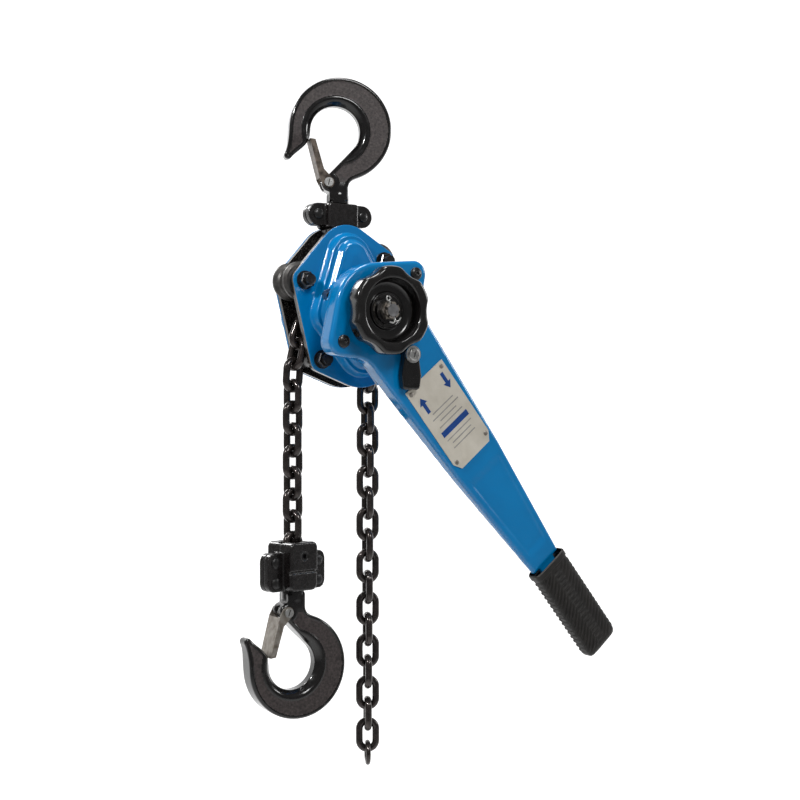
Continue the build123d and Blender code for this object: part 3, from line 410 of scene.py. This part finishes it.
def make_grip():
    """The rubber grip: a plain collar, slanting ribs and a rounded free end."""
    low_u, high_u = span("lever_grip", lever_u, shaft)
    low_v, high_v = span("lever_grip", lever_v, shaft)
    back, face = span("lever_grip", away, Vector((0, 0, 0)))
    half_v, mid_v = (high_v - low_v) / 2, (high_v + low_v) / 2
    half_y, mid_y = (face - back) / 2, (face + back) / 2
    rows, columns = 420, 288
    vertices = []
    for row in range(rows):
        u = low_u + (high_u - low_u) * row / (rows - 1)
        from_start, to_end = u - low_u, high_u - u
        collar = float(1 - step(from_start, *COLLAR_END))
        ribbed = float(step(from_start, *RIBS_START) * step(to_end, *RIBS_END))
        end_round = min(1.0, to_end / END_LENGTH)
        shrink = END_INSET * (1 - sqrt(max(0.0, 1 - (1 - end_round) ** 2)))
        shrink = shrink + COLLAR_STEP * (1 - collar) + MOUTH_INSET * float(1 - step(from_start, 0, MOUTH_INSET))
        for column in range(columns):
            angle = 2 * pi * column / columns
            c, s = cos(angle), sin(angle)
            way_v, way_y = (1 if c > 0 else -1), (1 if s > 0 else -1)
            v = (half_v - shrink) * abs(c) ** CORNER_POWER * way_v
            y = (half_y - shrink) * abs(s) ** CORNER_POWER * way_y
            rib = 0.5 + 0.5 * sin(2 * pi * (u * RIB_ALONG + v * RIB_ACROSS * way_y) / RIB_PITCH)
            lift = ribbed * (RIB_LIFT * float(step(rib, *RIB_FLANK)) - RIB_BASE)
            length = max(1e-6, sqrt((v / half_v) ** 2 + (y / half_y) ** 2))
            v += lift * (v / half_v) / length
            y += lift * (y / half_y) / length
            vertices.append(on_lever(u, mid_v + v, mid_y + y))
    faces = grid_faces(rows, columns, wrap=True)
    vertices.append(on_lever(high_u, mid_v, mid_y))
    last = (rows - 1) * columns
    faces += [(last + column, last + (column + 1) % columns, len(vertices) - 1) for column in range(columns)]
    new_piece("ribbed_grip", vertices, faces, [rubber], "lever", ["lever_grip"])


make_grip()


# ---------------------------------------------------------------- forged and cast pieces
def softened(node_name, voxel, rounds):
    """Vertices and faces of a CAD node remeshed finely and smoothed, as a casting comes out."""
    copy = bpy.data.objects.new("soft_" + node_name, nodes[node_name].data.copy())
    bpy.context.scene.collection.objects.link(copy)
    weld = copy.modifiers.new("weld", "WELD")
    weld.merge_threshold = 0.01 * MM
    remesh = copy.modifiers.new("remesh", "REMESH")
    remesh.mode, remesh.voxel_size = "VOXEL", voxel * MM
    smooth = copy.modifiers.new("smooth", "SMOOTH")
    smooth.factor, smooth.iterations = 0.5, rounds
    graph = bpy.context.evaluated_depsgraph_get()
    made = bpy.data.meshes.new_from_object(copy.evaluated_get(graph))
    points = np.zeros(len(made.vertices) * 3)
    made.vertices.foreach_get("co", points)
    faces = [tuple(p.vertices) for p in made.polygons]
    bpy.data.objects.remove(copy)
    return points.reshape(-1, 3), faces


HOOK_HALF = 10.5                     # half of the hook's thickness
BOWL_R, BOWL_SHIFT = 24.5, -3.0      # the bowl's circle, and its centre beside the swivel axis
BOWL_Z = {"top": -24.5, "bottom": -542.8}
INNER_BEAD, OUTER_BEAD = 9.0, 3.2
WALL_INSET, FACE_BAND = 4.0, 2.2     # how far from the faces the wall begins and the faces end
BEAD_THINNING, TIP_THINNING = 0.42, 0.30
FLAT_DEPTH = 0.8                     # the matt flats lie this far below the beads
SHANK_BLEND = (-56, -46)             # the hook's shaping fades out towards the shank
TIP_DOWN, TIP_OUT = (2, 28), (26, 34)


def make_hook(end, upright):
    """A forged hook: matt flat sides between a rounded inner bead and a thin outer one, both glossy."""
    turn = HOOK_TURN[end]
    swivel = joint_at[f"{end}_hook_swivel"]
    points, faces = softened(f"{end}_hook", 0.8, 4)
    normal = np.array((sin(turn), -cos(turn), 0))
    across = np.array((cos(turn), sin(turn), 0))
    base = np.array((swivel.x, 0, 0))
    depth = (points - base) @ normal / MM
    side = (points - base) @ across / MM
    up = (points[:, 2] / MM - BOWL_Z[end]) * upright
    wall = np.abs(depth) < HOOK_HALF - WALL_INSET
    tree = kdtree.KDTree(int(wall.sum()))
    for index, place in enumerate(zip(side[wall], up[wall])):
        tree.insert((*place, 0), index)
    tree.balance()
    rim = np.array([tree.find((*place, 0))[2] for place in zip(side, up)])
    inner = np.hypot(side - BOWL_SHIFT, up) - BOWL_R
    forging = step(up, *SHANK_BLEND)
    thin = 1 - BEAD_THINNING * (1 - step(inner, 0, INNER_BEAD)) ** 2 * forging
    thin -= TIP_THINNING * step(-up, *TIP_DOWN) * step(-side, *TIP_OUT)
    flat = step(rim, OUTER_BEAD - 0.5, OUTER_BEAD + 0.9)
    flat = flat * step(inner, INNER_BEAD - 0.4, INNER_BEAD + 1.2) * forging
    face = np.abs(depth) > HOOK_HALF - FACE_BAND
    shift = depth * (1 - thin) + np.sign(depth) * FLAT_DEPTH * flat * face
    points = points - normal * (shift * MM)[:, None]
    low = (flat > 0.5) & face
    flats = [1 if all(low[v] for v in corners) else 0 for corners in faces]
    new_piece(f"{end}_hook_forging", [Vector(p) for p in points], faces, [forged_edge, forged],
              f"{end}_hook", [f"{end}_hook"], flats)


make_hook("top", 1)
make_hook("bottom", -1)

SUSPENSION_R, SUSPENSION_PLAY = 6.0, 0.15
PAD_FROM, PAD_FULL = 12.0, 15.0      # mm from the block's seam
GROOVE_LOW, GROOVE_HIGH, GROOVE_DEPTH = -455.2, -451.4, 2.2
GROOVE_FLANK, SET_BACK_FLANK = 1.4, 3.1
LOWER_SET_BACK = 0.7


def press_pads(points):
    """A groove across the block's pads, and a lower pad set slightly back, pressed into the points."""
    out = np.array(load_axis)
    block = [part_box("bottom_yoke_front"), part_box("bottom_yoke_rear")]
    seam = sum(Vector((low + high) / 2).dot(load_axis) for low, high in block) / 2
    depth = (points @ out - seam) / MM
    height = points[:, 2] / MM
    pad = step(np.abs(depth), PAD_FROM, PAD_FULL)
    groove = GROOVE_DEPTH * step(height, GROOVE_LOW, GROOVE_LOW + GROOVE_FLANK)
    groove = groove * step(-height, -GROOVE_HIGH, GROOVE_FLANK - GROOVE_HIGH)
    set_back = LOWER_SET_BACK * step(-height, -GROOVE_HIGH, SET_BACK_FLANK - GROOVE_HIGH)
    points -= np.outer(np.sign(depth) * pad * np.maximum(groove, set_back) * MM, out)


def open_hole(points, centre, radius):
    """Push the wall of a hole along Y back out to its radius, where smoothing has closed it."""
    across = points[:, [0, 2]] - np.array((centre.x, centre.z))
    distance = np.hypot(*across.T)
    pushed = np.where(distance < radius * MM, radius * MM / np.maximum(distance, 1e-6), 1.0)
    points[:, [0, 2]] += across * (pushed - 1.0)[:, None]


for yoke_name, yoke_body in (("top_yoke_front", "top_yoke"), ("top_yoke_rear", "top_yoke"),
                             ("bottom_yoke_front", "bottom_yoke"), ("bottom_yoke_rear", "bottom_yoke")):
    yoke_points, yoke_faces = softened(yoke_name, 0.7, 3)
    if yoke_body == "bottom_yoke":
        press_pads(yoke_points)
    else:
        open_hole(yoke_points, joint_at["body_swing"], SUSPENSION_R + SUSPENSION_PLAY)
    new_piece(yoke_name + "_casting", [Vector(p) for p in yoke_points], yoke_faces, [cast_black],
              yoke_body, [yoke_name])

for soft_name, soft_body, voxel_size, paint in (("gear_case", "frame", 0.9, blue_paint),
                                                ("selector_knob", "selector", 0.5, black_paint)):
    soft_points, soft_faces = softened(soft_name, voxel_size, 4)
    new_piece(soft_name + "_soft", [Vector(p) for p in soft_points], soft_faces, [paint], soft_body,
              [soft_name])


BLADE_ALONG, BLADE_HALF = (45, 185, 322), (38, 31, 19.25)
PANEL_DEPTH, RIDGE_HEIGHT = 0.9, 1.0
RIDGE_U, RIDGE_V, RIDGE_STRETCH, RIDGE_FLANK = 68, -19, 2.2, (2.0, 5.0)
PANEL_SIDE, PANEL_START, PANEL_END = (6, 10), (192, 204), (-306, -296)
FACE_BLEND = (64.5, 66.0)


def make_lever_shell():
    """The pressed lever shell: softened folds, a shallow panel down the blade and a ridge by the selector."""
    points, faces = softened("lever_front", 0.9, 5)
    from_shaft = points - np.array(shaft)
    u, v = from_shaft @ np.array(lever_u) / MM, from_shaft @ np.array(lever_v) / MM
    half = np.interp(u, BLADE_ALONG, BLADE_HALF)
    panel = PANEL_DEPTH * step(half - np.abs(v), *PANEL_SIDE)
    panel = panel * step(u, *PANEL_START) * step(-u, *PANEL_END)
    from_ridge = np.hypot((u - RIDGE_U) / RIDGE_STRETCH, v - RIDGE_V)
    ridge = RIDGE_HEIGHT * (1 - step(from_ridge, *RIDGE_FLANK))
    face = step(-points[:, 1] / MM, *FACE_BLEND)
    points[:, 1] += (panel - ridge) * face * MM
    new_piece("lever_shell", [Vector(p) for p in points], faces, [blue_paint], "lever",
              ["lever_front"])


make_lever_shell()


# ---------------------------------------------------------------- rivets and bolt heads
def islands(node_name):
    """The separate solids of a CAD node, each as an array of its vertices."""
    mesh = nodes[node_name].data
    points = np.zeros(len(mesh.vertices) * 3)
    mesh.vertices.foreach_get("co", points)
    points = points.reshape(-1, 3)
    _, owner = np.unique(np.round(points, 6), axis=0, return_inverse=True)
    owner = owner.ravel()
    group = np.arange(owner.max() + 1)

    def root(item):
        while group[item] != item:
            group[item] = group[group[item]]
            item = group[item]
        return item

    for edge in mesh.edges:
        first, second = root(owner[edge.vertices[0]]), root(owner[edge.vertices[1]])
        group[first] = second
    roots = np.array([root(item) for item in owner])
    return [points[roots == one] for one in sorted(set(roots))]


HEAD_SKIRT = 0.35                    # share of a head's height below its dome
# the slot marks are dark boxes of painted shade, not recesses cut into the heads
SLOT_HALF_LENGTH, SLOT_HALF_WIDTH = 3.1, 0.45
SLOT_BELOW, SLOT_PROUD = -0.3, 0.02
SLOT_LEAN = Vector((0.35, 0.2, 1))   # sets which way a slot points


def domed_heads(name, node_name, axis, radius, height, material, body, both=True, socket=0.0):
    """Domed heads for a node's rivets or bolts, with a hexagon socket when one is given."""
    axis = Vector(axis).normalized()
    side = axis.cross(Vector((0, 0, 1))).normalized()
    up = axis.cross(side)
    vertices, faces = [], []
    spokes = 36
    pole = 0.05                      # radius of the small ring that closes a head's middle
    profile = [(radius, 0.0), (radius, HEAD_SKIRT * height)]
    profile += [(radius * cos(t), height * (HEAD_SKIRT + (1 - HEAD_SKIRT) * sin(t)))
                for t in np.linspace(0.15, 1.35, 8)]
    dome_rows = len(profile)
    if socket:
        profile += [(socket * 1.02, height * 0.99), (socket, height * 0.95), (socket, height * 0.3),
                    (pole, height * 0.25)]
    else:
        profile.append((pole, height))
    for points in islands(node_name):
        along = points @ np.array(axis)
        middle = Vector((points.min(axis=0) + points.max(axis=0)) / 2)
        middle -= axis * middle.dot(axis)
        for end, way in ((along.max(), 1), (along.min(), -1))[:2 if both else 1]:
            first = len(vertices)
            seat = middle + axis * (end - way * height * MM)
            for row, (reach, rise) in enumerate(profile):
                for spoke in range(spokes):
                    angle = 2 * pi * spoke / spokes
                    hexagon = cos(pi / 6) / cos((angle % (pi / 3)) - pi / 6)
                    reach_here = reach * hexagon if socket and row >= dome_rows else reach
                    spot = side * cos(angle) + up * sin(angle) * way
                    vertices.append(seat + (spot * reach_here + axis * way * rise) * MM)
            faces += grid_faces(len(profile), spokes, wrap=True, first=first)
    new_piece(name, vertices, faces, [material], body, [node_name])


def slot_shade_marks(name, node_name, axis, body, both=True):
    """A dark box just proud of each end of a pin or of a screw's head: painted shade in place of a driver slot's
    recess.
    """
    axis = Vector(axis).normalized()
    across = axis.cross(SLOT_LEAN).normalized()
    along = axis.cross(across)
    low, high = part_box(node_name)
    middle = (low + high) / 2
    places = [v.co.dot(axis) for v in nodes[node_name].data.vertices]
    middle -= axis * middle.dot(axis)
    corners = [(-SLOT_HALF_LENGTH, -SLOT_HALF_WIDTH), (SLOT_HALF_LENGTH, -SLOT_HALF_WIDTH),
               (SLOT_HALF_LENGTH, SLOT_HALF_WIDTH), (-SLOT_HALF_LENGTH, SLOT_HALF_WIDTH)]
    vertices, faces = [], []
    for end, way in ((max(places), 1), (min(places), -1))[:2 if both else 1]:
        first = len(vertices)
        for rise in (SLOT_BELOW, SLOT_PROUD):
            for a, b in corners:
                vertices.append(middle + axis * end + (along * a + across * b + axis * way * rise) * MM)
        faces += [(first, first + 3, first + 2, first + 1), (first + 4, first + 5, first + 6, first + 7)]
        faces += [(first + i, first + (i + 1) % 4, first + 4 + (i + 1) % 4, first + 4 + i) for i in range(4)]
    flat_shaded(new_piece(name, vertices, faces, [black_oxide], body))


domed_heads("top_yoke_rivet_heads", "top_yoke_rivets", away, 5.2, 2.5, black_oxide, "top_yoke")
domed_heads("bottom_yoke_rivet_heads", "bottom_yoke_rivets", load_axis, 5.2, 2.5, black_oxide, "bottom_yoke")
domed_heads("lever_casing_bolt_heads", "lever_casing_bolts", away, 6.2, 3.5, black_oxide, "lever",
            both=False, socket=2.6)
# painted slot shade on the latch pins and the selector screw
for end, turn in HOOK_TURN.items():
    slot_shade_marks(f"{end}_latch_pin_painted_slot_shade", f"{end}_latch_pin", (sin(turn), -cos(turn), 0), f"{end}_hook")
slot_shade_marks("selector_screw_painted_slot_shade", "selector_screw", away, "selector", both=False)
domed_heads("label_rivet_heads", "label_rivets", away, 2.4, 0.8, dull_zinc, "lever",
            both=False)


# ---------------------------------------------------------------- split pin
def wire(name, points, radius, material, body, closed=False):
    """A bent wire through points in metres."""
    data = bpy.data.curves.new(name, "CURVE")
    data.dimensions, data.bevel_depth = "3D", radius
    data.bevel_resolution, data.resolution_u = 4, 8
    spline = data.splines.new("NURBS")
    spline.points.add(len(points) - 1)
    for point, place in zip(spline.points, points):
        point.co = (*place, 1)
    spline.order_u = 3
    spline.use_endpoint_u, spline.use_cyclic_u = not closed, closed
    data.use_fill_caps = True
    data.materials.append(material)
    piece = bpy.data.objects.new(name, data)
    bpy.context.scene.collection.objects.link(piece)
    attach(piece, body)


PIN_TURN = radians(20)
PIN_WIRE_R = 0.8
PIN_LEG = [(-9.4, 0.45, 0), (-10.6, 0.6, 0), (-11.6, 1.8, 0.3), (-11.2, 4.2, 0.8), (-9.2, 6.6, 1.0)]
EYE_R, EYE_AT = 2.1, 11.9
pin_low, pin_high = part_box("split_pin")
pin_y = (pin_low.y + pin_high.y) / 2
pin_along = Vector((-sin(PIN_TURN), 0, cos(PIN_TURN)))
pin_side = Vector((cos(PIN_TURN), 0, sin(PIN_TURN)))
pin_middle = Vector((shaft.x, pin_y, shaft.z))


def pin_spot(along, side, out):
    return pin_middle + (pin_along * along + pin_side * side + away * out) * MM


for leg, way in (("left", -1), ("right", 1)):
    leg_points = [pin_spot(along, side * way, out) for along, side, out in PIN_LEG]
    wire(f"split_pin_leg_{leg}", leg_points, PIN_WIRE_R * MM, zinc, "drive")
eye_points = [pin_spot(EYE_AT + EYE_R * cos(t), EYE_R * sin(t), 0)
              for t in np.linspace(pi, 3 * pi, 13)[:-1]]
wire("split_pin_eye", eye_points, PIN_WIRE_R * MM, zinc, "drive", closed=True)

# ---------------------------------------------------------------- label print
LABEL_FACE = 68.0
INK_BELOW, INK_TOP = 0.02, 0.10      # the print's underside and face above the label
LINE_WIDTHS = [(0, 30), (1, 38), (2, 24), (3, 34), (6, 36), (7, 28), (8, 32)]
LINE_START, LINE_PITCH, LINE_HEIGHT = 114, 5.2, 1.1
BAND_START, BAND_END, BAND_HALF = 135, 141, 19


def print_shape(name, outline, material):
    """A thin printed shape on the label; outline is (along, across) from the shaft, in mm."""
    vertices, faces = [], []
    for depth in (LABEL_FACE + INK_BELOW, LABEL_FACE + INK_TOP):
        vertices += [on_lever(u, v, depth) for u, v in outline]
    count = len(outline)
    faces.append(tuple(range(count, 2 * count)))
    faces += [(i, (i + 1) % count, count + (i + 1) % count, count + i) for i in range(count)]
    flat_shaded(new_piece(name, vertices, faces, [material], "lever"))


def arrow(u, v, length, direction):
    """Outline of a bold arrow whose middle is at (u, v); direction is 1 towards the grip."""
    shaft_half, head_half, head = 2.0, 5.0, 7.0
    tail, neck, tip = -length / 2, length / 2 - head, length / 2
    points = [(tail, -shaft_half), (neck, -shaft_half), (neck, -head_half), (tip, 0),
              (neck, head_half), (neck, shaft_half), (tail, shaft_half)]
    return [(u + direction * a, v + b) for a, b in points]


print_shape("label_arrow_up", arrow(102, -17, 18, -1), label_ink)
print_shape("label_arrow_down", arrow(98, 18, 18, 1), label_ink)
for number, width in LINE_WIDTHS:
    at = LINE_START + number * LINE_PITCH
    print_shape(f"label_line_{number}", [(at, -width / 2), (at + LINE_HEIGHT, -width / 2),
                                         (at + LINE_HEIGHT, width / 2), (at, width / 2)], label_grey)
print_shape("label_band", [(BAND_START, -BAND_HALF), (BAND_END, -BAND_HALF), (BAND_END, BAND_HALF),
                           (BAND_START, BAND_HALF)], label_ink)

# ---------------------------------------------------------------- studio
FLOOR_Z = -1.6
AZIMUTH = radians(-33)
view_ahead = Vector((-sin(AZIMUTH), cos(AZIMUTH), 0))
view_side = Vector((cos(AZIMUTH), sin(AZIMUTH), 0))
target = Vector((0.07343, 0, -0.28821))
CAMERA_DISTANCE = 1.518
GLOW_FROM, GLOW_FULL, GLOW = 0.8, 2.2, 0.75


def make_backdrop():
    """A pale floor that sweeps up into a wall behind the object, square to the camera.

    It glows more with the distance behind the object, so the wall stays pale while the floor takes the light.
    """
    half, bend, near, far, top = 9.0, 1.2, -4.0, 4.0, 6.0
    path = [(near, 0.0), (far - bend, 0.0)]
    path += [(far - bend + bend * sin(t), bend - bend * cos(t)) for t in np.linspace(0, pi / 2, 24)[1:]]
    path.append((far, top))
    vertices = []
    for y, z in path:
        for x in (-half, half):
            spot = view_side * x + view_ahead * y
            vertices.append((spot.x, spot.y, z + FLOOR_Z))
    mesh = bpy.data.meshes.new("backdrop")
    mesh.from_pydata(vertices, [], [face[::-1] for face in grid_faces(len(path), 2)])
    mesh.polygons.foreach_set("use_smooth", [True] * len(mesh.polygons))
    backdrop = bpy.data.objects.new("backdrop", mesh)
    bpy.context.scene.collection.objects.link(backdrop)
    paper = surface("backdrop_paper", (0.86, 0.86, 0.86), (0.90, 0.90, 0.90), (0.8, 0.9),
                    [(0.01, 0.02, 0.0002)], cloud=0.5)
    tree = paper.node_tree
    glow = tree.nodes["Principled BSDF"]
    glow.inputs["Emission Color"].default_value = (1, 1, 1, 1)
    reach = tree.nodes.new("ShaderNodeVectorMath")
    reach.operation = "DOT_PRODUCT"
    reach.inputs[1].default_value = tuple(view_ahead)
    tree.links.new(tree.nodes["Texture Coordinate"].outputs["Object"], reach.inputs[0])
    fade = tree.nodes.new("ShaderNodeMapRange")
    for key, value in (("From Min", GLOW_FROM), ("From Max", GLOW_FULL), ("To Min", 0.0), ("To Max", GLOW)):
        fade.inputs[key].default_value = value
    tree.links.new(reach.outputs["Value"], fade.inputs["Value"])
    tree.links.new(fade.outputs["Result"], glow.inputs["Emission Strength"])
    mesh.materials.append(paper)


make_backdrop()

camera_data = bpy.data.cameras.new("camera")
camera_data.lens, camera_data.sensor_width = 67.5, 36.0
camera = bpy.data.objects.new("camera", camera_data)
bpy.context.scene.collection.objects.link(camera)
camera.location = target - view_ahead * CAMERA_DISTANCE
camera.rotation_euler = view_ahead.to_track_quat("-Z", "Y").to_euler()
bpy.context.scene.camera = camera


def area_light(name, side, height, behind, size, power):
    """A soft square light aimed at the object; places are across, up and away from the camera."""
    data = bpy.data.lights.new(name, "AREA")
    data.shape, data.size, data.energy = "SQUARE", size, power
    light = bpy.data.objects.new(name, data)
    bpy.context.scene.collection.objects.link(light)
    light.location = target + view_side * side + view_ahead * behind + Vector((0, 0, height))
    light.rotation_euler = (target - light.location).to_track_quat("-Z", "Y").to_euler()


area_light("key", -1.35, 1.25, -1.3, 0.18, 25)
area_light("fill", 0.8, 1.3, -1.6, 0.6, 17)
area_light("strip", 1.8, 0.5, 0.1, 0.4, 5)
area_light("top", 0.1, 1.9, -0.1, 0.6, 15)
area_light("rim", -1.2, 1.2, 1.0, 0.4, 9)

world = bpy.data.worlds.new("studio")
bpy.context.scene.world = world
world.use_nodes = True
world.node_tree.nodes["Background"].inputs["Color"].default_value = (1, 1, 1, 1)
world.node_tree.nodes["Background"].inputs["Strength"].default_value = 0.16
bpy.context.scene.view_settings.view_transform = "Standard"
